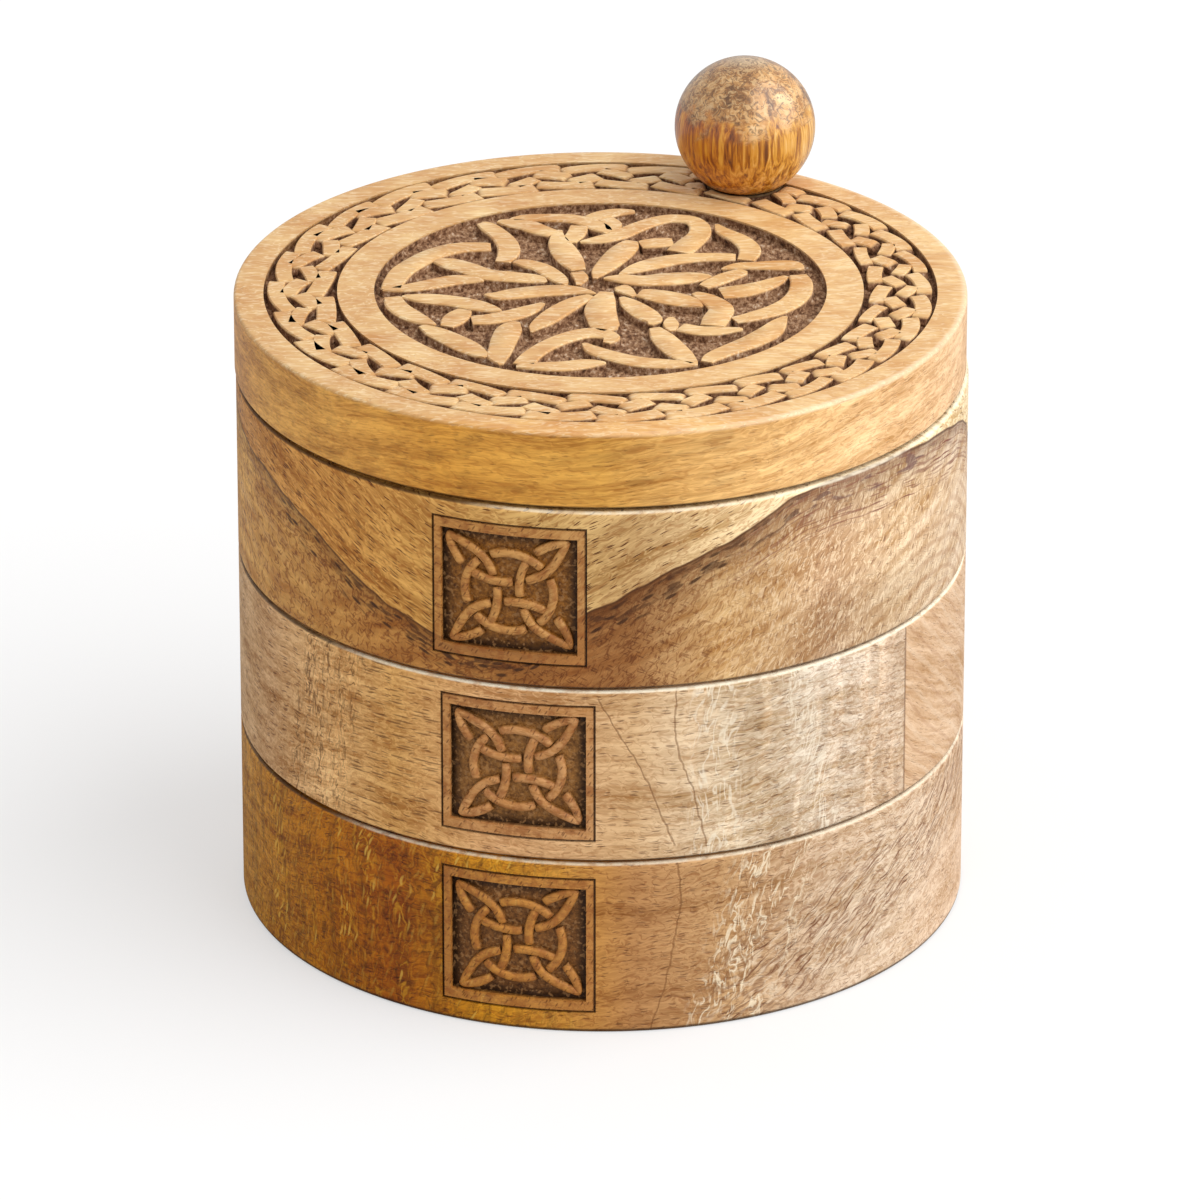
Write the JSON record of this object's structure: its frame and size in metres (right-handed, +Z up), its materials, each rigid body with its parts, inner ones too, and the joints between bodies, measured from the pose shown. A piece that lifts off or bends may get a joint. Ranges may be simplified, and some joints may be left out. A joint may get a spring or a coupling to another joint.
{
  "type": "revolving box",
  "caption": "Round turned-wood box of stacked tiers and a carved lid that each swing about one upright bolt near the rim, closed by a ball knob.",
  "frame": {"origin": "centre of the bottom tier's underside, where the box stands", "axes": "+Z up along the stack, -Y towards the front with the carved panels, the pivot bolt at the back right"},
  "size_m": [0.1258, 0.1257, 0.1335],
  "materials": {
    "bottom_tier_wood": "waxed mango wood, orange brown",
    "middle_front_wood": "waxed mango wood, pale beige",
    "middle_rear_wood": "waxed mango wood, pinkish",
    "top_tier_wood": "waxed mango wood, tan with a dark band",
    "lid_wood": "waxed mango wood, honey",
    "knob_wood": "satin spalted mango wood",
    "brass": "turned",
    "steel": "zinc plated",
    "spacer_nylon": "natural nylon"
  },
  "bodies": {
    "base": {"bottom_tier": "bottom_tier_wood", "pivot_bolt": "steel", "head_washer": "steel", "lower_spacer": "spacer_nylon", "knob": "knob_wood", "knob_insert": "brass"},
    "middle_tier": {"middle_tier_front": "middle_front_wood", "middle_tier_rear": "middle_rear_wood", "middle_spacer": "spacer_nylon"},
    "top_tier": {"top_tier": "top_tier_wood", "upper_spacer": "spacer_nylon"},
    "lid": {"lid": "lid_wood"}
  },
  "joints": [
    {"name": "middle_tier_swing", "type": "hinge", "parent": "base", "child": "middle_tier", "pos_m": [0.025, 0.04843, 0.032], "axis": [0, 0, 1], "continuous": true},
    {"name": "top_tier_swing", "type": "hinge", "parent": "base", "child": "top_tier", "pos_m": [0.025, 0.04843, 0.064], "axis": [0, 0, 1], "continuous": true},
    {"name": "lid_swing", "type": "hinge", "parent": "base", "child": "lid", "pos_m": [0.025, 0.04843, 0.0968], "axis": [0, 0, 1], "continuous": true}
  ]
}
